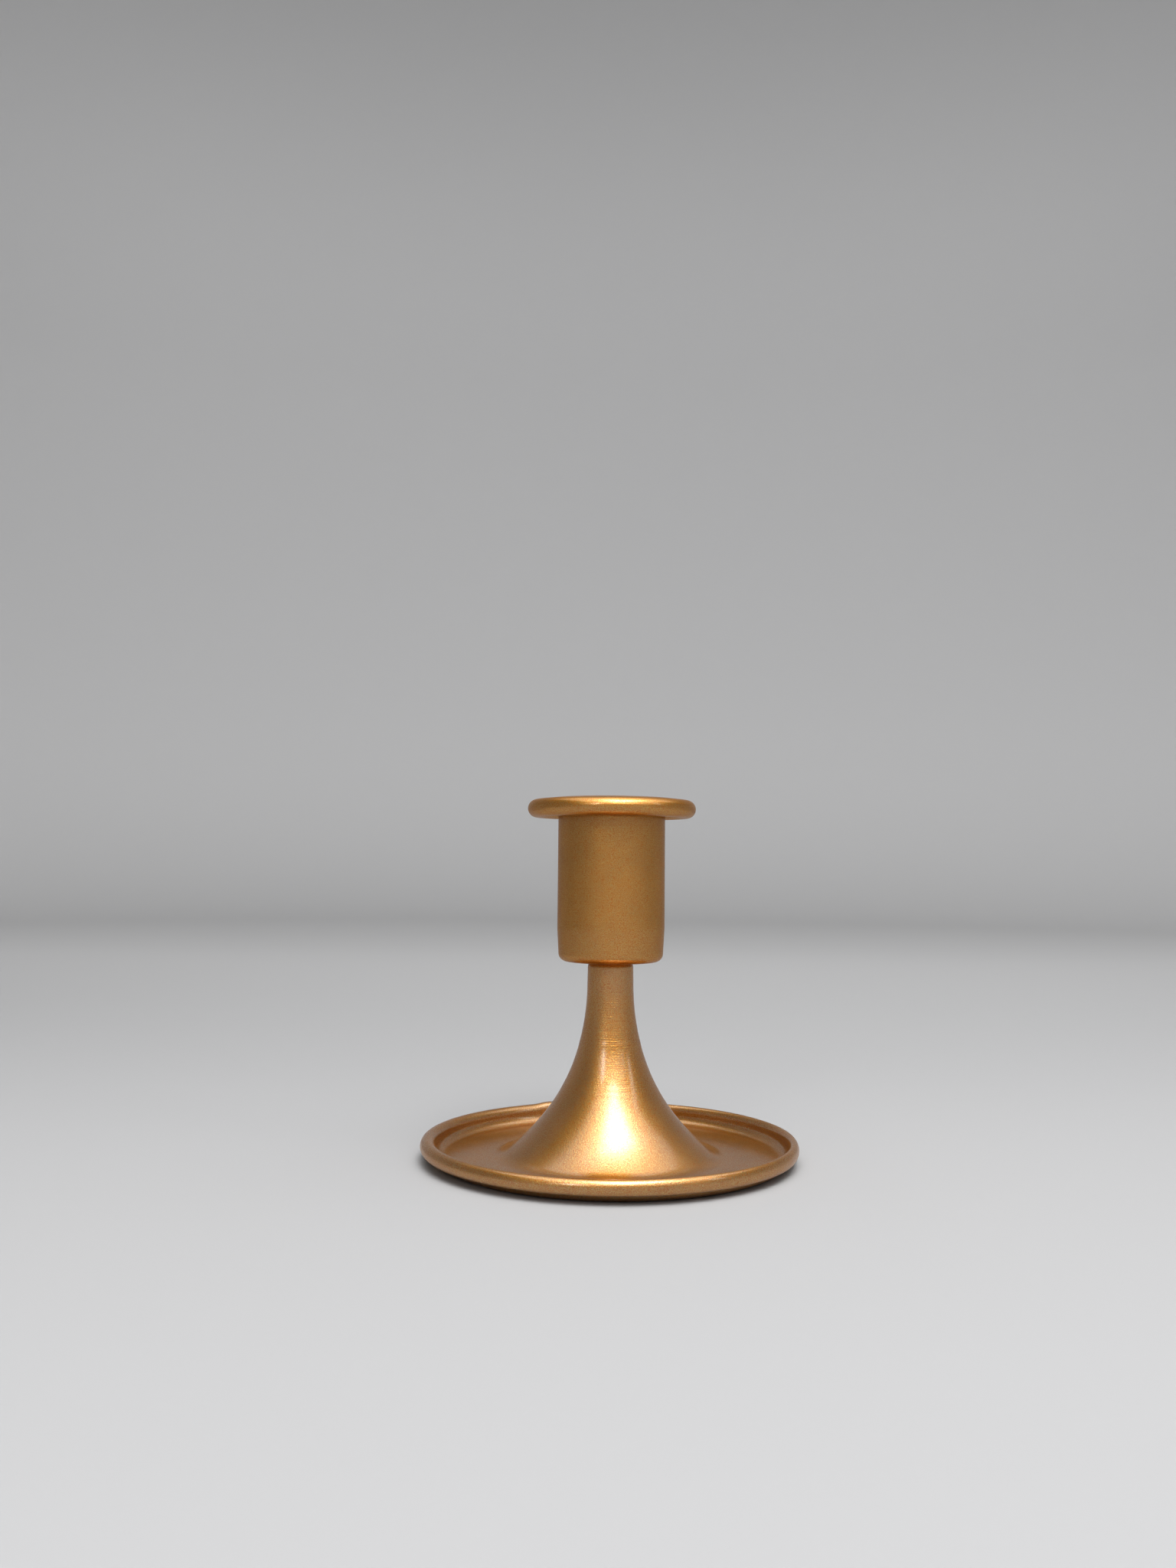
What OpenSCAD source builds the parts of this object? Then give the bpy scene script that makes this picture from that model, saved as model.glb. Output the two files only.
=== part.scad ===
// Candlestick: a spun foot (dish, trumpet stem and neck in one sheet) and a drawn candle cup
// with a curled rim, clamped together by one screw through the cup's floor and the neck's crown.
// Millimetres, +Z up. The origin is the centre of the underside, on the table.

/* [Overall] */
// Height of the candle cup, from its underside to the top of its lip
cup_h = 37.2; // [25:0.2:60]
// Outside diameter of the dish, across its rolled edge
dish_d = 85; // [76:0.5:110]

/* [Foot] */
// Thickness of the sheet that the foot is spun from
foot_t = 0.9; // [0.7:0.05:1.1]
// Outside radius of the dish's rolled edge
roll_r = 1.7; // [1.5:0.05:1.9]
// Slit between the end of the roll and the back of the dish's wall
roll_gap = 0.2; // [0.1:0.05:0.4]
// Radius between the dish's floor and its wall
wall_fillet_r = 2.2; // [1.5:0.1:3]
// Height of the dish's straight wall, between that radius and the roll
wall_h = 0.35; // [0.1:0.05:2]
// Radius at the foot of the trumpet, where it runs out into the floor
root_r = 6; // [4:0.5:8]
// Radius of the lower, wide part of the trumpet
flare_r = 42.5; // [35:0.5:50]
// Radius of the upper, steep part of the trumpet
rise_r = 54.5; // [51:0.5:90]
// Slope of the trumpet from upright, where the foot radius takes over
root_a = 53.5; // [45:0.5:58]
// Slope of the trumpet from upright, where its two large radii meet
flare_a = 15; // [8:0.5:25]
// Slope of the neck from upright
neck_a = 0.9; // [0.3:0.1:1.5]
// Length of the straight neck above the trumpet
neck_l = 4.5; // [3:0.5:20]
// Outside diameter of the neck at its crown
neck_d = 10.4; // [9.4:0.1:14]
// Outside radius between the neck and its crown
crown_r = 1.3; // [1.2:0.05:1.6]

/* [Cup] */
// Thickness of the cup's wall and floor
cup_t = 0.9; // [0.7:0.05:1.1]
// Bore of the cup, for a candle of 22 mm
bore_d = 22.7; // [21:0.1:25]
// Width of the rim, from the cup's wall to its outer edge
rim_w = 7; // [5.5:0.1:10]
// Outside radius of the curl under the rim's edge
curl_r = 2.05; // [1.6:0.05:2.4]
// How far round the curl's sheet goes below and behind its middle
curl_a = 155; // [110:5:175]
// Radius of the lip, where the bore turns out into the rim
lip_r = 1.9; // [1.5:0.05:2.5]
// Slope of the rim's top, falling outwards
rim_a = 6; // [2:0.5:9]
// How much the cup's radius is drawn in at its lower end
draw_in = 0.3; // [0.1:0.05:0.6]
// Height over which the cup is drawn in
draw_h = 5.6; // [3:0.2:9]
// Outside radius between the cup's wall and floor
cup_corner_r = 1.9; // [1.4:0.1:3]

/* [Fastening] */
// Thread diameter of the screw
screw_d = 3; // [2.5:0.1:3.5]
// Length of the screw under its head
screw_l = 8; // [7:0.5:12]
// Diameter of the screw's head
head_d = 6.9; // [6:0.1:9]
// Height of the screw's head
head_h = 1.9; // [1.4:0.1:2.2]
// Width of the slot in the head
slot_w = 0.8; // [0.5:0.1:1.2]
// Depth of the slot in the head
slot_depth = 0.9; // [0.5:0.1:1.1]
// Radial play of the screw in the holes of cup, crown and washers
hole_play = 0.2; // [0.1:0.05:0.3]
// Radial play between the screw's thread and the nut
thread_play = 0.05; // [0.02:0.01:0.1]
// Radial play of the plain washer inside the bend under the crown
washer_play = 0.4; // [0.2:0.05:0.6]
// Thickness of the plain washer
washer_t = 0.5; // [0.3:0.05:0.8]
// Outside diameter of the spring washer
spring_d = 6.2; // [5.6:0.1:7]
// Thickness of the spring washer
spring_t = 0.8; // [0.5:0.1:1]
// Width of the split in the spring washer
split_w = 0.5; // [0.3:0.1:0.9]
// Slope of the split in the spring washer
split_a = 30; // [10:5:45]
// Width of the nut across its flats
nut_af = 5.5; // [5:0.1:6.5]
// Height of the nut
nut_h = 2.4; // [1.8:0.1:3]
// Slope of the nut's corner chamfers
nut_chamfer_a = 30; // [20:5:40]
// Chamfer on the end of the screw
tip_chamfer = 0.4; // [0.2:0.1:0.6]

/* [Hidden] */
$fn = 160;
// Overrun of every cut past the face it starts from
over = 0.5;
// Largest distance between a round stretch of a profile and its chords
chord_gap = 0.01;

// The dish: roll, wall and floor
dish_r = dish_d / 2;
wall_r = dish_r - 2 * roll_r;
roll_end_a = acos((roll_r - foot_t - roll_gap) / roll_r) - 180;
wall_fillet_c = [wall_r - wall_fillet_r, foot_t + wall_fillet_r];
roll_c = [dish_r - roll_r, wall_fillet_c[1] + wall_h];

// The trumpet and the neck: heights are carried up from the floor, radii down from the crown
root_z = foot_t + root_r;
flare_z = root_z + (flare_r - root_r) * sin(root_a);
rise_z = flare_z + (rise_r - flare_r) * sin(flare_a);
neck_low_z = rise_z - rise_r * sin(neck_a);
neck_top_z = neck_low_z + neck_l * cos(neck_a);
crown_c = [neck_d / 2 - crown_r, neck_top_z - crown_r * sin(neck_a)];
crown_z = crown_c[1] + crown_r;
neck_low = [crown_c[0] + crown_r * cos(neck_a) + neck_l * sin(neck_a), neck_low_z];
rise_c = neck_low + rise_r * polar(neck_a);
flare_c = rise_c - (rise_r - flare_r) * polar(flare_a);
root_c = flare_c - (flare_r - root_r) * polar(root_a);

// The seats: the cup and the screw above the crown, the washers and the nut below it
cup_floor_z = crown_z + cup_t;
crown_under_z = crown_z - foot_t;
washer_d = 2 * (crown_c[0] - washer_play);
spring_top_z = crown_under_z - washer_t;
nut_top_z = spring_top_z - spring_t;
hole_r = screw_d / 2 + hole_play;

// The cup: lip, rim, curl, wall and corner
bore_r = bore_d / 2;
cup_r = bore_r + cup_t;
lip_c = [bore_r + lip_r, crown_z + cup_h - lip_r];
curl_x = cup_r + rim_w - curl_r;
curl_drop = (curl_r - lip_r + (curl_x - lip_c[0]) * sin(rim_a)) / cos(rim_a);
curl_c = [curl_x, lip_c[1] - curl_drop];
cup_low_r = cup_r - draw_in;
cup_corner_c = [cup_low_r - cup_corner_r, crown_z + cup_corner_r];
draw_top_z = cup_corner_c[1] + draw_h;

// Unit vector at an angle in the profile's plane, from +X towards +Z
function polar(a) = [cos(a), sin(a)];

// Points along an arc about c; first is 1 where the arc carries on from the point before it
function arc(c, r, from_a, to_a, first = 0) =
    let (n = ceil(abs(to_a - from_a) / (2 * acos(1 - chord_gap / r))))
    [for (i = [first : n]) c + r * polar(from_a + (to_a - from_a) * i / n)];

// A list of points from its last to its first
function backwards(points) = [for (i = [len(points) - 1 : -1 : 0]) points[i]];

// Profile of the foot's sheet at depth t under the face that shows, from crown to rolled edge
function foot_side(t) = concat(
    [[hole_r, crown_z - t]],
    arc(crown_c, crown_r - t, 90, neck_a),
    arc(rise_c, rise_r + t, 180 + neck_a, 180 + flare_a),
    arc(flare_c, flare_r + t, 180 + flare_a, 180 + root_a, first = 1),
    arc(root_c, root_r + t, 180 + root_a, 270, first = 1),
    arc(wall_fillet_c, wall_fillet_r + t, 270, 360),
    arc(roll_c, roll_r - t, 180, 0),
    arc(roll_c, roll_r - t, 0, roll_end_a, first = 1)
);

// Profile of the cup's sheet at depth t behind the face that holds the candle, from hole to curl
function cup_side(t) = concat(
    [[hole_r, cup_floor_z - t]],
    arc(cup_corner_c, cup_corner_r - cup_t + t, -90, 0),
    [[bore_r + t, draw_top_z]],
    arc(lip_c, lip_r - t, 180, 90),
    arc(lip_c, lip_r - t, 90, 90 - rim_a, first = 1),
    arc(curl_c, curl_r - t, 90 - rim_a, 0),
    arc(curl_c, curl_r - t, 0, -curl_a, first = 1)
);

// Foot: one spun sheet, from the screw hole in the crown to the rolled edge of the dish
module base_shell() {
    color([0.62, 0.42, 0.17])
        rotate_extrude() polygon(concat(foot_side(0), backwards(foot_side(foot_t))));
}

// Cup: floor with a screw hole, drawn-in lower end, straight bore, lip, sloping rim and curl
module candle_cup() {
    color([0.60, 0.41, 0.17])
        rotate_extrude() polygon(concat(cup_side(0), backwards(cup_side(cup_t))));
}

// Screw: low domed head with a slot, on the cup's floor; its thread is a plain shank
module cup_screw() {
    dome_r = (head_h * head_h + head_d * head_d / 4) / (2 * head_h);
    color([0.78, 0.70, 0.52])
        difference() {
            union() {
                intersection() {
                    translate([0, 0, cup_floor_z]) cylinder(r = head_d / 2, h = head_h);
                    translate([0, 0, cup_floor_z + head_h - dome_r]) sphere(r = dome_r);
                }
                translate([0, 0, cup_floor_z - screw_l + tip_chamfer])
                    cylinder(d = screw_d, h = screw_l - tip_chamfer);
                translate([0, 0, cup_floor_z - screw_l])
                    cylinder(r1 = screw_d / 2 - tip_chamfer, r2 = screw_d / 2, h = tip_chamfer);
            }
            translate([-head_d / 2 - over, -slot_w / 2, cup_floor_z + head_h - slot_depth])
                cube([head_d + 2 * over, slot_w, slot_depth + over]);
        }
}

// Plain washer against the underside of the crown
module plain_washer() {
    color([0.74, 0.74, 0.72])
        translate([0, 0, spring_top_z])
            difference() {
                cylinder(d = washer_d, h = washer_t);
                translate([0, 0, -over]) cylinder(r = hole_r, h = washer_t + 2 * over);
            }
}

// Spring washer, pressed flat, split on a slant
module spring_washer() {
    color([0.58, 0.58, 0.57])
        translate([0, 0, nut_top_z])
            difference() {
                cylinder(d = spring_d, h = spring_t);
                translate([0, 0, -over]) cylinder(r = hole_r, h = spring_t + 2 * over);
                translate([spring_d / 2, 0, spring_t / 2])
                    rotate([split_a, 0, 0])
                        cube([spring_d, split_w, 2 * spring_t + 2 * over], center = true);
            }
}

// Nut: hexagon with both faces chamfered at the corners
module hex_nut() {
    corner_r = nut_af / 2 / cos(180 / 6);
    chamfer_h = (corner_r - nut_af / 2) * tan(nut_chamfer_a);
    color([0.72, 0.72, 0.70])
        translate([0, 0, nut_top_z - nut_h])
            difference() {
                intersection() {
                    cylinder(r = corner_r, h = nut_h, $fn = 6);
                    rotate_extrude()
                        polygon([
                            [0, 0],
                            [nut_af / 2, 0],
                            [corner_r, chamfer_h],
                            [corner_r, nut_h - chamfer_h],
                            [nut_af / 2, nut_h],
                            [0, nut_h]
                        ]);
                }
                translate([0, 0, -over]) cylinder(r = screw_d / 2 + thread_play, h = nut_h + 2 * over);
            }
}

base_shell();
candle_cup();
cup_screw();
plain_washer();
spring_washer();
hex_nut();
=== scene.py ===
import math

import bpy
import numpy as np
from mathutils import Matrix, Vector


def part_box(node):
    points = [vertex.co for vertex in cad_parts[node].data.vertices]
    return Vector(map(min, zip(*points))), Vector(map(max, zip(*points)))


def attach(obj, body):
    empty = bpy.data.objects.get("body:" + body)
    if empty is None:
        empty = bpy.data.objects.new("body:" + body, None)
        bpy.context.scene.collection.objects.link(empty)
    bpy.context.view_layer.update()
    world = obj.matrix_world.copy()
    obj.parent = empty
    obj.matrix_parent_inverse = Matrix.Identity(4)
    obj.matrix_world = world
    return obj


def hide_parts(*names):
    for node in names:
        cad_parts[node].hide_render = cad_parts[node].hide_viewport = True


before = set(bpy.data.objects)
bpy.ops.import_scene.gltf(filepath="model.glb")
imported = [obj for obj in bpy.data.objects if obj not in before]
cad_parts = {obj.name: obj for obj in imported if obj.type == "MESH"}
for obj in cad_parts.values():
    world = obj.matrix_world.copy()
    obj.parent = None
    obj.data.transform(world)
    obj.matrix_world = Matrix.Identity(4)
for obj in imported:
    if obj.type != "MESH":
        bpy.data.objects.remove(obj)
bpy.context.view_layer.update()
MM = 0.001

# The photographer's view: about 30 cm from the axis and a little lower than the rim, so that the
# rim is seen from below and the dish from above. The candlestick stands just right of the middle.
IMAGE_LONG_PX = 2048
FOCAL_PX = 1700
LONG_SIDE_MM = 36
VIEW_DISTANCE = 299.0 * MM
VIEW_HEIGHT = 66.9 * MM
VIEW_PITCH = math.radians(3.415)
VIEW_YAW = math.radians(1.059)
VIEW_ROLL = math.radians(0.524)
camera_data = bpy.data.cameras.new("view")
camera_data.sensor_fit = "VERTICAL"
camera_data.sensor_height = LONG_SIDE_MM
camera_data.lens = FOCAL_PX / IMAGE_LONG_PX * LONG_SIDE_MM
camera_data.clip_start = 5 * MM
camera_data.clip_end = 20.0
camera = bpy.data.objects.new("view", camera_data)
camera.matrix_world = (
    Matrix.Translation((0.0, -VIEW_DISTANCE, VIEW_HEIGHT))
    @ Matrix.Rotation(VIEW_YAW, 4, "Z")
    @ Matrix.Rotation(math.pi / 2 + VIEW_PITCH, 4, "X")
    @ Matrix.Rotation(VIEW_ROLL, 4, "Z")
)
bpy.context.scene.collection.objects.link(camera)
bpy.context.scene.camera = camera
bpy.context.view_layer.update()


# Foot: one disc of sheet, spun over a mandrel into dish, trumpet and neck, its edge rolled over,
# then sprayed with satin metallic gold. The roll is wider on the left than on the right, and it
# lifts in one short kink at the back left.
def arc(centre, radius, start, end, spacing, first=0):
    """Points about centre, from angle start to angle end in degrees, at most spacing apart along
    the arc. first is 1 where the arc carries on from the point before it."""
    sweep = np.radians(end - start)
    count = max(2, int(np.ceil(abs(sweep) * radius / spacing)))
    angle = np.radians(start) + sweep * np.arange(first, count + 1) / count
    return np.stack([centre[0] + radius * np.cos(angle), centre[1] + radius * np.sin(angle)], 1)


def straight(start, end, spacing):
    """Points between start and end, both left out, at most spacing apart."""
    start, end = np.asarray(start, float), np.asarray(end, float)
    count = int(np.ceil(np.linalg.norm(end - start) / spacing))
    share = np.arange(1, count)[:, None] / max(count, 1)
    return start + share * (end - start)


def turned(name, face, back, steps, shape=None):
    """A closed sheet of revolution. The profile runs along face and returns along back; each of
    its points (r, z) goes round +Z as (r cos a, r sin a, z) for steps angles a. shape may move
    the points first: it takes r, z and a as arrays and returns r and z. The attribute along is
    each point's way along the profile, in metres."""
    loop = np.concatenate([face, back[::-1]])
    count = len(loop)
    angle = 2 * np.pi * np.arange(steps) / steps
    r = np.repeat(loop[:, :1], steps, 1)
    z = np.repeat(loop[:, 1:], steps, 1)
    if shape is not None:
        r, z = shape(r, z, angle[None, :])
    points = np.stack([r * np.cos(angle), r * np.sin(angle), z], -1).reshape(-1, 3)
    i, j = np.meshgrid(np.arange(count), np.arange(steps), indexing="ij")
    i_next, j_next = (i + 1) % count, (j + 1) % steps
    corners = [i * steps + j, i_next * steps + j, i_next * steps + j_next, i * steps + j_next]
    quads = np.stack(corners, -1).reshape(-1, 4)
    following = np.roll(loop, -1, 0)
    signed_area = np.sum(loop[:, 0] * following[:, 1] - following[:, 0] * loop[:, 1])
    if signed_area > 0:
        quads = quads[:, ::-1]
    mesh = bpy.data.meshes.new(name)
    mesh.vertices.add(len(points))
    mesh.vertices.foreach_set("co", points.astype(np.float32).ravel())
    mesh.loops.add(quads.size)
    mesh.loops.foreach_set("vertex_index", quads.astype(np.int32).ravel())
    mesh.polygons.add(len(quads))
    mesh.polygons.foreach_set("loop_start", np.arange(0, quads.size, 4, dtype=np.int32))
    mesh.update(calc_edges=True)
    mesh.polygons.foreach_set("use_smooth", np.ones(len(quads), bool))
    steps_along = np.linalg.norm(np.diff(loop, axis=0), axis=1)
    along = np.concatenate([[0.0], np.cumsum(steps_along)])
    attribute = mesh.attributes.new("along", "FLOAT", "POINT")
    attribute.data.foreach_set("value", np.repeat(along, steps).astype(np.float32))
    piece = bpy.data.objects.new(name, mesh)
    bpy.context.scene.collection.objects.link(piece)
    return piece


FOOT_SHEET = 0.9 * MM
DISH_RADIUS = 42.5 * MM
ROLL_RADIUS = 1.7 * MM
ROLL_SLIT = 0.2 * MM
WALL_FILLET = 2.2 * MM
WALL_HEIGHT = 0.35 * MM
ROOT_RADIUS = 6.0 * MM
FLARE_RADIUS = 42.5 * MM
RISE_RADIUS = 54.5 * MM
CROWN_RADIUS = 1.3 * MM
HOLE_RADIUS = 1.7 * MM
NECK_RADIUS = 5.2 * MM
ROOT_SLOPE, FLARE_SLOPE, NECK_SLOPE = 53.5, 15.0, 0.9
CROWN_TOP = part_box("base_shell")[1].z

wall_radius = DISH_RADIUS - 2 * ROLL_RADIUS
fillet_centre = np.array([wall_radius - WALL_FILLET, FOOT_SHEET + WALL_FILLET])
roll_centre = np.array([DISH_RADIUS - ROLL_RADIUS, fillet_centre[1] + WALL_HEIGHT])
roll_end = math.degrees(math.acos((ROLL_RADIUS - FOOT_SHEET - ROLL_SLIT) / ROLL_RADIUS)) - 180


def toward(degrees):
    """Unit vector in the profile's plane, turned by that angle from outwards towards up."""
    return np.array([math.cos(math.radians(degrees)), math.sin(math.radians(degrees))])


crown_centre = np.array([NECK_RADIUS - CROWN_RADIUS, CROWN_TOP - CROWN_RADIUS])
root_z = FOOT_SHEET + ROOT_RADIUS
flare_z = root_z + (FLARE_RADIUS - ROOT_RADIUS) * toward(ROOT_SLOPE)[1]
rise_z = flare_z + (RISE_RADIUS - FLARE_RADIUS) * toward(FLARE_SLOPE)[1]
neck_top = crown_centre + CROWN_RADIUS * toward(NECK_SLOPE)
neck_low_z = rise_z - RISE_RADIUS * toward(NECK_SLOPE)[1]
neck_spread = (neck_top[1] - neck_low_z) * math.tan(math.radians(NECK_SLOPE))
neck_low = np.array([neck_top[0] + neck_spread, neck_low_z])
rise_centre = neck_low + RISE_RADIUS * toward(NECK_SLOPE)
flare_centre = rise_centre - (RISE_RADIUS - FLARE_RADIUS) * toward(FLARE_SLOPE)
root_centre = flare_centre - (FLARE_RADIUS - ROOT_RADIUS) * toward(ROOT_SLOPE)


def foot_side(depth, fine, coarse):
    """Profile of the foot's sheet at that depth under the face that shows, from the screw hole
    in the crown to the end of the roll: straight runs and tangent arcs."""
    crown_start = np.array([HOLE_RADIUS, CROWN_TOP - depth])
    neck_side = depth * toward(NECK_SLOPE)
    root_end = root_centre - np.array([0.0, ROOT_RADIUS + depth])
    fillet_start = fillet_centre - np.array([0.0, WALL_FILLET + depth])
    return np.concatenate([
        [crown_start],
        straight(crown_start, crown_centre + (CROWN_RADIUS - depth) * toward(90), coarse),
        arc(crown_centre, CROWN_RADIUS - depth, 90, NECK_SLOPE, fine),
        straight(neck_top - neck_side, neck_low - neck_side, coarse),
        arc(rise_centre, RISE_RADIUS + depth, 180 + NECK_SLOPE, 180 + FLARE_SLOPE, coarse),
        arc(flare_centre, FLARE_RADIUS + depth, 180 + FLARE_SLOPE, 180 + ROOT_SLOPE, coarse, first=1),
        arc(root_centre, ROOT_RADIUS + depth, 180 + ROOT_SLOPE, 270, coarse, first=1),
        straight(root_end, fillet_start, coarse),
        arc(fillet_centre, WALL_FILLET + depth, 270, 360, fine),
        arc(roll_centre, ROLL_RADIUS - depth, 180, roll_end, fine),
    ])


ROLL_SHARE_LEFT, ROLL_SHARE_RIGHT = 1.0, 0.66
RIDGE_HEIGHTS = np.array([15.9, 17.0, 26.2]) * MM
RIDGE_HALF_WIDTH, RIDGE_DEPTH = 0.45 * MM, 0.02 * MM
KINK_ANGLE, KINK_HALF_ANGLE, KINK_LIFT = math.radians(112), math.radians(6.5), 0.45 * MM


def spun_by_hand(r, z, angle):
    """The roll's width changes round the dish with the cosine of the angle, and the wall moves
    with its inner edge. One short kink lifts the roll by a squared-cosine bump, and faint ridges
    go round the trumpet, each a bell curve of the height."""
    middle = (ROLL_SHARE_LEFT + ROLL_SHARE_RIGHT) / 2
    width = middle + (ROLL_SHARE_RIGHT - ROLL_SHARE_LEFT) / 2 * np.cos(angle)
    rolled = r >= wall_radius
    wall_shift = (1 - width) * 2 * ROLL_RADIUS
    near_wall = np.clip((r - root_centre[0]) / (wall_radius - root_centre[0]), 0, 1) ** 2
    shifted = np.where(rolled, DISH_RADIUS - (DISH_RADIUS - r) * width, r + wall_shift * near_wall)
    for height in RIDGE_HEIGHTS:
        bell = np.exp(-((z - height) / RIDGE_HALF_WIDTH) ** 2)
        shifted = shifted + RIDGE_DEPTH * bell
    off = np.clip(np.abs(angle - KINK_ANGLE) / KINK_HALF_ANGLE, 0, 1)
    lift = KINK_LIFT * np.cos(off * np.pi / 2) ** 2
    raised = np.clip((z - FOOT_SHEET - WALL_FILLET / 2) / (2 * ROLL_RADIUS), 0, 1)
    return shifted, z + lift * raised * (r > fillet_centre[0])


FOOT_FACE_FINE, FOOT_FACE_COARSE = 0.26 * MM, 0.27 * MM
FOOT_BACK_FINE, FOOT_BACK_COARSE = 0.3 * MM, 1.2 * MM
STEPS_ROUND = 256
foot = turned(
    "foot",
    foot_side(0.0, FOOT_FACE_FINE, FOOT_FACE_COARSE),
    foot_side(FOOT_SHEET, FOOT_BACK_FINE, FOOT_BACK_COARSE),
    STEPS_ROUND, spun_by_hand)


def new_group(name, inputs, outputs):
    """An empty shader node group with those named sockets: {name: (kind, default)} in, {name:
    kind} out. Returns the group, its input node and its output node."""
    group = bpy.data.node_groups.new(name, "ShaderNodeTree")
    for label, (kind, default) in inputs.items():
        socket = group.interface.new_socket(name=label, in_out="INPUT", socket_type="NodeSocket" + kind)
        if default is not None:
            socket.default_value = default
    for label, kind in outputs.items():
        group.interface.new_socket(name=label, in_out="OUTPUT", socket_type="NodeSocket" + kind)
    return group, group.nodes.new("NodeGroupInput"), group.nodes.new("NodeGroupOutput")


def add(tree, kind, settings=None, **values):
    """A node of that kind in tree: settings are its properties, values its input sockets, each a
    number, a colour or another node's output socket. A socket is given by its name, with spaces as
    underscores, or by i and its number."""
    node = tree.nodes.new(kind)
    for key, value in (settings or {}).items():
        setattr(node, key, value)
    for key, value in values.items():
        by_number = key[0] == "i" and key[1:].isdigit()
        socket = node.inputs[int(key[1:]) if by_number else key.replace("_", " ")]
        if isinstance(value, bpy.types.NodeSocket):
            tree.links.new(value, socket)
        else:
            socket.default_value = value
    return node


def math_node(tree, operation, first, second=0.0, third=0.0):
    """The output socket of a Math node."""
    return add(tree, "ShaderNodeMath", {"operation": operation}, i0=first, i1=second, i2=third).outputs[0]


def mixed(tree, share, first, second):
    """The output socket of a node that mixes two colours, each three numbers or a socket: the
    first where share is 0, the second where it is 1."""
    first, second = [c if isinstance(c, bpy.types.NodeSocket) else (*c, 1) for c in (first, second)]
    return add(tree, "ShaderNodeMix", {"data_type": "RGBA"}, i0=share, i6=first, i7=second).outputs[2]


def eased(tree, value, low, high):
    """The output socket of a smooth step that is 0 where value is low and 1 where it is high."""
    return add(
        tree, "ShaderNodeMapRange", {"interpolation_type": "SMOOTHSTEP"},
        Value=value, From_Min=low, From_Max=high).outputs[0]


def round_the_axis():
    """Group: where a point lies on a turned part. Unit direction from the axis as X and Y, and
    the way along the profile, in mm, as Z, so that noise can run round or along the part."""
    group, inputs, outputs = new_group(
        "round_the_axis",
        {
            "Position": ("Vector", None),
            "Along": ("Float", 0.0),
            "Round": ("Float", 1.0),
            "Up": ("Float", 1.0),
        },
        {"Place": "Vector"},
    )
    xyz = add(group, "ShaderNodeSeparateXYZ", i0=inputs.outputs["Position"])
    radius = math_node(group, "SQRT", math_node(
        group, "ADD",
        math_node(group, "MULTIPLY", xyz.outputs[0], xyz.outputs[0]),
        math_node(group, "MULTIPLY", xyz.outputs[1], xyz.outputs[1]),
    ))
    safe_radius = math_node(group, "MAXIMUM", radius, 0.0001)
    round_x = math_node(group, "DIVIDE", xyz.outputs[0], safe_radius)
    round_y = math_node(group, "DIVIDE", xyz.outputs[1], safe_radius)
    place = add(
        group, "ShaderNodeCombineXYZ",
        i0=math_node(group, "MULTIPLY", round_x, inputs.outputs["Round"]),
        i1=math_node(group, "MULTIPLY", round_y, inputs.outputs["Round"]),
        i2=math_node(group, "MULTIPLY", inputs.outputs["Along"], inputs.outputs["Up"]),
    )
    group.links.new(place.outputs[0], outputs.inputs["Place"])
    return group


LINE_TWIST, LINE_WANDER = 1.5, 3.0


def turning_lines(axis_group):
    """Group: the fine grooves that the spinning tool leaves. A sine along the profile, one turn
    for each groove, whose phase and depth wander, with finer noise added that hardly changes
    round the part. Height is about 0 to 1."""
    group, inputs, outputs = new_group(
        "turning_lines",
        {"Position": ("Vector", None), "Along": ("Float", 0.0), "Lines per mm": ("Float", 2.0)},
        {"Height": "Float"},
    )
    place = add(group, "ShaderNodeGroup", {"node_tree": axis_group})
    group.links.new(inputs.outputs["Position"], place.inputs["Position"])
    group.links.new(inputs.outputs["Along"], place.inputs["Along"])
    place.inputs["Round"].default_value = LINE_TWIST
    group.links.new(inputs.outputs["Lines per mm"], place.inputs["Up"])
    fine = add(group, "ShaderNodeTexNoise", Vector=place.outputs[0], Scale=2.3, Detail=2.0, Roughness=0.6)
    wander = add(group, "ShaderNodeTexNoise", Vector=place.outputs[0], Scale=0.21, Detail=2.0, Roughness=0.5)
    turn = math_node(group, "MULTIPLY", inputs.outputs["Along"], inputs.outputs["Lines per mm"])
    phase = math_node(group, "MULTIPLY_ADD", wander.outputs["Fac"], LINE_WANDER, turn)
    wave = math_node(group, "SINE", math_node(group, "MULTIPLY", phase, 2 * math.pi))
    depth = add(
        group, "ShaderNodeMapRange",
        Value=wander.outputs["Fac"], From_Min=0.38, From_Max=0.62, To_Min=0.02, To_Max=0.22)
    groove = math_node(group, "MULTIPLY_ADD", wave, depth.outputs[0], fine.outputs["Fac"])
    group.links.new(groove, outputs.inputs["Height"])
    return group


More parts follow.
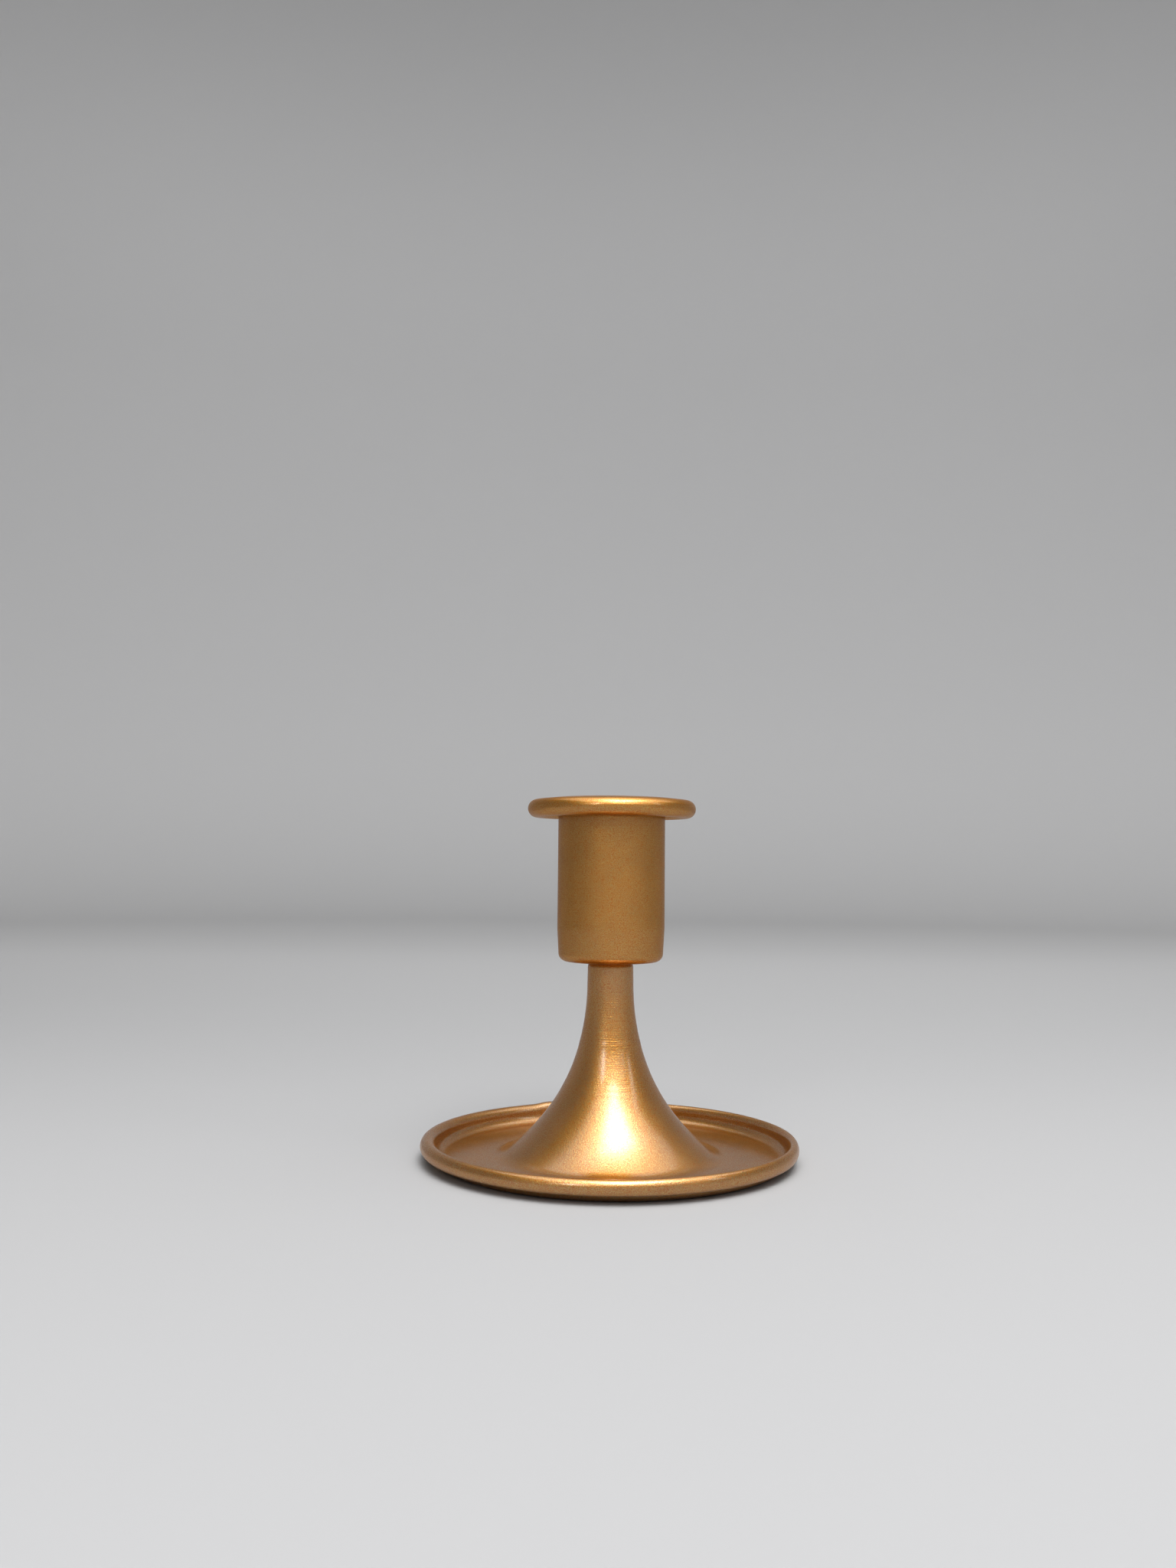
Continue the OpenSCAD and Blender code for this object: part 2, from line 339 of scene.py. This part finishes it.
def paint_flakes():
    """Group: the metal flakes in the paint, as fine noise. Mask, at twice the density, is 1 on a
    flake that lies open and 0 between flakes, Height tilts them in small drifts, and Cloud is
    the slow mottling."""
    group, inputs, outputs = new_group(
        "paint_flakes",
        {"Position": ("Vector", None), "Flakes per m": ("Float", 2600.0)},
        {"Mask": "Float", "Height": "Float", "Cloud": "Float"},
    )
    grain = add(
        group, "ShaderNodeTexNoise",
        Vector=inputs.outputs["Position"], Scale=inputs.outputs["Flakes per m"], Detail=2.0, Roughness=0.6)
    cloud = add(
        group, "ShaderNodeTexNoise",
        Vector=inputs.outputs["Position"], Scale=160.0, Detail=3.0, Roughness=0.55)
    open_flakes = add(
        group, "ShaderNodeTexNoise", Vector=inputs.outputs["Position"],
        Scale=math_node(group, "MULTIPLY", inputs.outputs["Flakes per m"], 2.0), Detail=1.0)
    mask = add(group, "ShaderNodeMapRange", Value=open_flakes.outputs["Fac"], From_Min=0.36, From_Max=0.76)
    group.links.new(mask.outputs[0], outputs.inputs["Mask"])
    group.links.new(grain.outputs["Fac"], outputs.inputs["Height"])
    group.links.new(cloud.outputs["Fac"], outputs.inputs["Cloud"])
    return group


AXIS_GROUP = round_the_axis()
LINES_GROUP = turning_lines(AXIS_GROUP)
FLAKES_GROUP = paint_flakes()

# The paint's ground goes from deep to open by the mottling of the cloud and by the turning lines,
# which paint shade into the ground's colour, darker in each groove and paler on each ridge. Cloud
# and flakes then add their shares to the ground's roughness; the flakes' is negative.
PAINT_DEEP = (0.36, 0.098, 0.001)
PAINT_OPEN = (0.47, 0.140, 0.002)
PAINT_FLAKE = (0.66, 0.60, 0.16)
PAINT_EDGE = (0.60, 0.45, 0.30)
MOTTLE_CLOUD, GROOVE_SHADE, MOTTLE_START = 0.9, 0.5, -0.2
FLAKE_SHARE = 0.5
GROUND_ROUGHNESS, CLOUD_ROUGHNESS, FLAKE_ROUGHNESS = 0.46, 0.10, -0.30
COAT_IOR, COAT_ROUGHNESS = 2.0, 0.2


def gold_paint(
        name, coat, glint, flakes_per_m, lines_per_mm, lines_low, lines_full, line_depth, flake_depth):
    """Satin metallic gold paint over turned sheet: a deep, rough ground with pale, smoother
    flakes in it under a clear coat, whose weight is coat, plus glint over open flakes. Mottling
    shifts the ground's colour and its roughness, and the turning lines paint shade into the colour,
    darker in each groove; turning lines, which fade in between the heights lines_low and lines_full,
    and flakes raise the surface by line_depth and flake_depth."""
    material = bpy.data.materials.new(name)
    material.use_nodes = True
    tree = material.node_tree
    shader = tree.nodes["Principled BSDF"]
    position = add(tree, "ShaderNodeTexCoord").outputs["Object"]
    metres_along = add(tree, "ShaderNodeAttribute", {"attribute_name": "along"}).outputs["Fac"]
    along = math_node(tree, "MULTIPLY", metres_along, 1 / MM)
    lines = add(tree, "ShaderNodeGroup", {"node_tree": LINES_GROUP}, Position=position, Along=along)
    lines.inputs["Lines per mm"].default_value = lines_per_mm
    height = add(tree, "ShaderNodeSeparateXYZ", i0=position).outputs[2]
    zone = eased(tree, height, lines_low, lines_full)
    line = math_node(tree, "MULTIPLY", lines.outputs["Height"], zone)
    flakes = add(tree, "ShaderNodeGroup", {"node_tree": FLAKES_GROUP}, Position=position)
    flakes.inputs["Flakes per m"].default_value = flakes_per_m
    # Random mottling from the cloud, plus painted shade from the turning lines: darker colour in each
    # groove, paler on each ridge.
    mottle_and_groove_shade = math_node(tree, "MULTIPLY_ADD", flakes.outputs["Cloud"], MOTTLE_CLOUD, math_node(
        tree, "MULTIPLY_ADD", line, GROOVE_SHADE, MOTTLE_START))
    ground = mixed(tree, mottle_and_groove_shade, PAINT_DEEP, PAINT_OPEN)
    pale = math_node(tree, "MULTIPLY", flakes.outputs["Mask"], FLAKE_SHARE)
    tree.links.new(mixed(tree, pale, ground, PAINT_FLAKE), shader.inputs["Base Color"])
    rough = math_node(tree, "MULTIPLY_ADD", flakes.outputs["Cloud"], CLOUD_ROUGHNESS, math_node(
        tree, "MULTIPLY_ADD", flakes.outputs["Mask"], FLAKE_ROUGHNESS, GROUND_ROUGHNESS))
    tree.links.new(rough, shader.inputs["Roughness"])
    shader.inputs["Metallic"].default_value = 1.0
    shader.inputs["Specular Tint"].default_value = (*PAINT_EDGE, 1)
    shine = math_node(tree, "MULTIPLY_ADD", flakes.outputs["Mask"], glint, coat)
    tree.links.new(shine, shader.inputs["Coat Weight"])
    shader.inputs["Coat IOR"].default_value = COAT_IOR
    shader.inputs["Coat Roughness"].default_value = COAT_ROUGHNESS
    groove = add(tree, "ShaderNodeBump", Strength=1.0, Distance=line_depth, Height=line)
    grain = add(
        tree, "ShaderNodeBump", Strength=1.0, Distance=flake_depth,
        Height=flakes.outputs["Height"], Normal=groove.outputs[0])
    tree.links.new(grain.outputs[0], shader.inputs["Normal"])
    return material


foot.data.materials.append(gold_paint(
    "gold_paint_foot", coat=0.6, glint=0.4, flakes_per_m=3000.0, lines_per_mm=1.9,
    lines_low=12 * MM, lines_full=19 * MM, line_depth=0.045 * MM, flake_depth=0.06 * MM))
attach(foot, "root")
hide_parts("base_shell")

# Cup: a drawn cup of the same sheet, trued on the lathe. Its mouth turns out over a rounded lip
# into a rim whose edge is curled under, and its lower end is drawn in to centre the candle.
CUP_SHEET = 0.9 * MM
BORE_RADIUS = 11.35 * MM
RIM_WIDTH = 7.0 * MM
CURL_RADIUS = 2.05 * MM
CURL_SWEEP = 155
LIP_RADIUS = 1.9 * MM
RIM_SLOPE = 6
DRAW_IN, DRAW_HEIGHT = 0.3 * MM, 5.6 * MM
CUP_CORNER = 1.9 * MM
CUP_LOW, CUP_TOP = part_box("candle_cup")[0].z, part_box("candle_cup")[1].z

cup_radius = BORE_RADIUS + CUP_SHEET
lip_centre = np.array([BORE_RADIUS + LIP_RADIUS, CUP_TOP - LIP_RADIUS])
curl_x = cup_radius + RIM_WIDTH - CURL_RADIUS
rim_fall = toward(RIM_SLOPE)
curl_drop = (CURL_RADIUS - LIP_RADIUS + (curl_x - lip_centre[0]) * rim_fall[1]) / rim_fall[0]
curl_centre = np.array([curl_x, lip_centre[1] - curl_drop])
corner_centre = np.array([cup_radius - DRAW_IN - CUP_CORNER, CUP_LOW + CUP_CORNER])
draw_top = corner_centre[1] + DRAW_HEIGHT


def cup_side(depth, fine, coarse):
    """Profile of the cup's sheet at that depth behind the face that holds the candle, from the
    screw hole in the floor to the end of the curl."""
    floor_start = np.array([HOLE_RADIUS, CUP_LOW + CUP_SHEET - depth])
    corner_radius = CUP_CORNER - CUP_SHEET + depth
    corner_start = corner_centre - np.array([0.0, corner_radius])
    draw_start = corner_centre + np.array([corner_radius, 0.0])
    draw_end = np.array([BORE_RADIUS + depth, draw_top])
    wall_end = lip_centre - np.array([LIP_RADIUS - depth, 0.0])
    rim_start = lip_centre + (LIP_RADIUS - depth) * toward(90 - RIM_SLOPE)
    rim_end = curl_centre + (CURL_RADIUS - depth) * toward(90 - RIM_SLOPE)
    return np.concatenate([
        [floor_start],
        straight(floor_start, corner_start, coarse),
        arc(corner_centre, corner_radius, -90, 0, fine),
        straight(draw_start, draw_end, coarse),
        [draw_end],
        straight(draw_end, wall_end, coarse),
        arc(lip_centre, LIP_RADIUS - depth, 180, 90 - RIM_SLOPE, fine),
        straight(rim_start, rim_end, coarse),
        arc(curl_centre, CURL_RADIUS - depth, 90 - RIM_SLOPE, -CURL_SWEEP, fine),
    ])


CUP_FINE, CUP_BORE_COARSE, CUP_WALL_COARSE = 0.2 * MM, 0.6 * MM, 0.4 * MM
cup = turned(
    "cup", cup_side(0.0, CUP_FINE, CUP_BORE_COARSE), cup_side(CUP_SHEET, CUP_FINE, CUP_WALL_COARSE),
    STEPS_ROUND)
cup.data.materials.append(gold_paint(
    "gold_paint_cup", coat=0.36, glint=0.12, flakes_per_m=3200.0, lines_per_mm=1.8,
    lines_low=0.0, lines_full=1 * MM, line_depth=0.030 * MM, flake_depth=0.018 * MM))
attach(cup, "root")
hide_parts("candle_cup")


# Fasteners: a brass-plated screw with a low domed head on the cup's floor, and a zinc-plated
# washer, a spring washer and a nut on it inside the neck. Their shapes are the CAD nodes' own.
def plated_steel(name, colour, dark, roughness):
    """Plated steel with fine grain and darker specks: noise times broader noise mixes dark and
    colour, and the broader noise adds to roughness."""
    material = bpy.data.materials.new(name)
    material.use_nodes = True
    tree = material.node_tree
    shader = tree.nodes["Principled BSDF"]
    position = add(tree, "ShaderNodeTexCoord").outputs["Object"]
    specks = add(tree, "ShaderNodeTexNoise", Vector=position, Scale=2500.0, Detail=4.0, Roughness=0.6)
    blotch = add(tree, "ShaderNodeTexNoise", Vector=position, Scale=500.0, Detail=2.0)
    share = math_node(tree, "MULTIPLY", specks.outputs["Fac"], blotch.outputs["Fac"])
    spread = add(tree, "ShaderNodeMapRange", Value=share, From_Min=0.15, From_Max=0.4)
    tree.links.new(mixed(tree, spread.outputs[0], dark, colour), shader.inputs["Base Color"])
    rough = math_node(tree, "MULTIPLY_ADD", blotch.outputs["Fac"], 0.15, roughness)
    tree.links.new(rough, shader.inputs["Roughness"])
    shader.inputs["Metallic"].default_value = 1.0
    bump = add(tree, "ShaderNodeBump", Strength=1.0, Distance=0.004 * MM, Height=specks.outputs["Fac"])
    tree.links.new(bump.outputs[0], shader.inputs["Normal"])
    return material


BRASS_PLATE = plated_steel(
    "brass_plate", colour=(0.72, 0.52, 0.22), dark=(0.42, 0.27, 0.09), roughness=0.24)
ZINC_PLATE = plated_steel(
    "zinc_plate", colour=(0.66, 0.67, 0.66), dark=(0.38, 0.39, 0.40), roughness=0.30)
SPRING_STEEL = plated_steel(
    "oiled_spring_steel", colour=(0.22, 0.21, 0.20), dark=(0.08, 0.075, 0.07), roughness=0.34)
for node, material in {
    "cup_screw": BRASS_PLATE,
    "plain_washer": ZINC_PLATE,
    "spring_washer": SPRING_STEEL,
    "hex_nut": ZINC_PLATE,
}.items():
    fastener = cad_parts[node]
    fastener.data.materials.clear()
    fastener.data.materials.append(material)

# Table and backdrop: one pale matt sweep, flat where the candlestick stands and curving up all
# round far behind it, so that every view has the same plain ground. Its floor is painted a little
# paler round the candlestick than further out, a painted pool of light. It grows paler as it rises.
# It also glows a little, most behind the candlestick, but only to the camera and in reflections.
SWEEP_FLAT, SWEEP_CURVE, SWEEP_WALL = 1.3, 0.9, 1.2
SWEEP_INNER_RINGS = (0.3, 0.8)
SWEEP_SPACING = 0.05
SWEEP_STEPS = 96
FLOOR_NEAR, FLOOR_FAR, WALL_TINT = (0.34, 0.34, 0.344), (0.31, 0.31, 0.314), (0.60, 0.60, 0.605)
# Painted pool of light: the floor's colour is the paler near tint round the candlestick and the darker far
# tint further out.
PAINTED_POOL_INNER, PAINTED_POOL_OUTER = 0.17, 0.80
RISE_NEAR, RISE_FAR = 1.1, 2.0
GLOW_NEAR, GLOW_FAR = 0.10, 0.65
BACK_GLOW, SIDE_GLOW = 0.15, 0.09
SWEEP_ROUGHNESS, SWEEP_SHEEN = 0.9, 0.1
sweep_face = np.concatenate([
    [[0.0, 0.0]],
    [[ring_radius, 0.0] for ring_radius in SWEEP_INNER_RINGS],
    arc((SWEEP_FLAT, SWEEP_CURVE), SWEEP_CURVE, 270, 360, SWEEP_SPACING),
    [[SWEEP_FLAT + SWEEP_CURVE, SWEEP_CURVE + SWEEP_WALL]],
])
sweep_angle = 2 * np.pi * np.arange(SWEEP_STEPS) / SWEEP_STEPS
ring_r = np.repeat(sweep_face[1:, :1], SWEEP_STEPS, 1)
ring_z = np.repeat(sweep_face[1:, 1:], SWEEP_STEPS, 1)
ring = np.stack([ring_r * np.cos(sweep_angle), ring_r * np.sin(sweep_angle), ring_z], -1)
sweep_points = np.concatenate([[[0.0, 0.0, 0.0]], ring.reshape(-1, 3)])
sweep_i, sweep_j = np.meshgrid(np.arange(len(sweep_face) - 2), np.arange(SWEEP_STEPS), indexing="ij")
sweep_next = (sweep_j + 1) % SWEEP_STEPS
sweep_quads = 1 + np.stack([
    sweep_i * SWEEP_STEPS + sweep_j,
    (sweep_i + 1) * SWEEP_STEPS + sweep_j,
    (sweep_i + 1) * SWEEP_STEPS + sweep_next,
    sweep_i * SWEEP_STEPS + sweep_next,
], -1).reshape(-1, 4)
sweep_fan = [(0, 1 + j, 1 + (j + 1) % SWEEP_STEPS) for j in range(SWEEP_STEPS)]
sweep_mesh = bpy.data.meshes.new("sweep")
sweep_mesh.from_pydata(sweep_points.tolist(), [], sweep_quads.tolist() + sweep_fan)
sweep_mesh.polygons.foreach_set("use_smooth", np.ones(len(sweep_mesh.polygons), bool))
sweep = bpy.data.objects.new("sweep", sweep_mesh)
bpy.context.scene.collection.objects.link(sweep)
sweep_paint = bpy.data.materials.new("pale_sweep")
sweep_paint.use_nodes = True
sweep_tree = sweep_paint.node_tree
sweep_shader = sweep_tree.nodes["Principled BSDF"]
sweep_position = add(sweep_tree, "ShaderNodeTexCoord").outputs["Object"]
sweep_y = add(sweep_tree, "ShaderNodeSeparateXYZ", i0=sweep_position).outputs[1]
sweep_distance = add(
    sweep_tree, "ShaderNodeVectorMath", {"operation": "LENGTH"}, i0=sweep_position).outputs["Value"]
sweep_back = eased(sweep_tree, sweep_y, GLOW_NEAR, GLOW_FAR)
sweep_rise = eased(sweep_tree, sweep_distance, RISE_NEAR, RISE_FAR)
# Painted pool of light: the floor goes from the paler near tint to the darker far tint.
sweep_painted_pool = eased(sweep_tree, sweep_distance, PAINTED_POOL_INNER, PAINTED_POOL_OUTER)
sweep_floor = mixed(sweep_tree, sweep_painted_pool, FLOOR_NEAR, FLOOR_FAR)
sweep_tree.links.new(
    mixed(sweep_tree, sweep_rise, sweep_floor, WALL_TINT), sweep_shader.inputs["Base Color"])
sweep_path = add(sweep_tree, "ShaderNodeLightPath")
sweep_mirrored = math_node(
    sweep_tree, "MAXIMUM",
    sweep_path.outputs["Is Glossy Ray"], sweep_path.outputs["Is Transmission Ray"])
sweep_seen = math_node(sweep_tree, "MAXIMUM", sweep_path.outputs["Is Camera Ray"], sweep_mirrored)
sweep_light = math_node(
    sweep_tree, "MAXIMUM",
    math_node(sweep_tree, "MULTIPLY", sweep_back, BACK_GLOW),
    math_node(sweep_tree, "MULTIPLY", sweep_rise, SIDE_GLOW))
sweep_tree.links.new(
    math_node(sweep_tree, "MULTIPLY", sweep_seen, sweep_light), sweep_shader.inputs["Emission Strength"])
sweep_shader.inputs["Roughness"].default_value = SWEEP_ROUGHNESS
sweep_shader.inputs["Specular IOR Level"].default_value = SWEEP_SHEEN
sweep_mesh.materials.append(sweep_paint)


# Light: a wide soft box overhead whose middle is brighter, a silk around it, a panel high behind
# the camera, a narrow strip on its left and one on the right, which make the two thin streaks on
# the trumpet, and a lamp that lifts the backdrop. The rest of the studio is a dim even grey.
def flat_light(name, width, height, radiance):
    """A flat light that the camera doesn't see. For a given radiance it gives off pi times the
    radiance times its area."""
    data = bpy.data.lights.new(name, "AREA")
    data.shape = "RECTANGLE"
    data.size, data.size_y = width, height
    data.energy = math.pi * width * height * radiance
    flat = bpy.data.objects.new(name, data)
    flat.visible_camera = False
    bpy.context.scene.collection.objects.link(flat)
    return flat


def hung_flat(name, left, right, back, front, height, radiance):
    """A flat light that faces straight down at that height, between left and right and between
    back and front, which is toward the camera."""
    flat = flat_light(name, right - left, front - back, radiance)
    flat.location = ((left + right) / 2, -(back + front) / 2, height)


def stood_flat(name, azimuth, elevation, distance, width, height, radiance, aim):
    """A flat light at that distance from the point aim, which it faces, azimuth degrees to the
    right of the camera's side as that point sees it, and elevation degrees up."""
    flat = flat_light(name, width, height, radiance)
    a, e = math.radians(azimuth), math.radians(elevation)
    offset = distance * np.array([math.sin(a) * math.cos(e), -math.cos(a) * math.cos(e), math.sin(e)])
    flat.location = np.asarray(aim) + offset
    flat.rotation_euler = (math.pi / 2 - e, 0.0, a)


MIDDLE = (0.0, 0.0, 30 * MM)
BACKDROP = (0.0, 1.9, 0.6)
hung_flat("overhead_wide", left=-0.62, right=1.02, back=-0.55, front=0.95, height=1.02, radiance=1.3)
hung_flat("overhead_box", left=-0.36, right=0.72, back=-0.02, front=1.05, height=1.01, radiance=1.4)
hung_flat("overhead_core", left=-0.16, right=0.50, back=0.12, front=1.13, height=1.00, radiance=2.0)
hung_flat("overhead_tube", left=0.00, right=0.35, back=0.20, front=1.10, height=0.99, radiance=5.0)
hung_flat("overhead_lamp", left=-0.14, right=0.46, back=0.15, front=0.62, height=0.98, radiance=3.5)
hung_flat("overhead_silk", left=-0.80, right=1.00, back=-1.05, front=1.75, height=1.10, radiance=0.2)
stood_flat(
    "high_panel", azimuth=8, elevation=33, distance=1.2,
    width=2.0, height=0.32, radiance=1.1, aim=MIDDLE)
stood_flat(
    "left_strip", azimuth=-22, elevation=29, distance=0.9,
    width=0.10, height=0.26, radiance=6.5, aim=MIDDLE)
stood_flat(
    "right_strip", azimuth=68, elevation=32, distance=0.9,
    width=0.12, height=0.36, radiance=2.4, aim=MIDDLE)
stood_flat(
    "backdrop_lamp", azimuth=0, elevation=50, distance=1.0,
    width=1.8, height=0.4, radiance=1.5, aim=BACKDROP)
STUDIO_GREY = 0.08
world = bpy.data.worlds.new("sky")
world.use_nodes = True
world_light = world.node_tree.nodes["Background"]
world_light.inputs["Color"].default_value = (1.0, 1.0, 1.0, 1)
world_light.inputs["Strength"].default_value = STUDIO_GREY
bpy.context.scene.world = world
bpy.context.scene.view_settings.view_transform = "Standard"
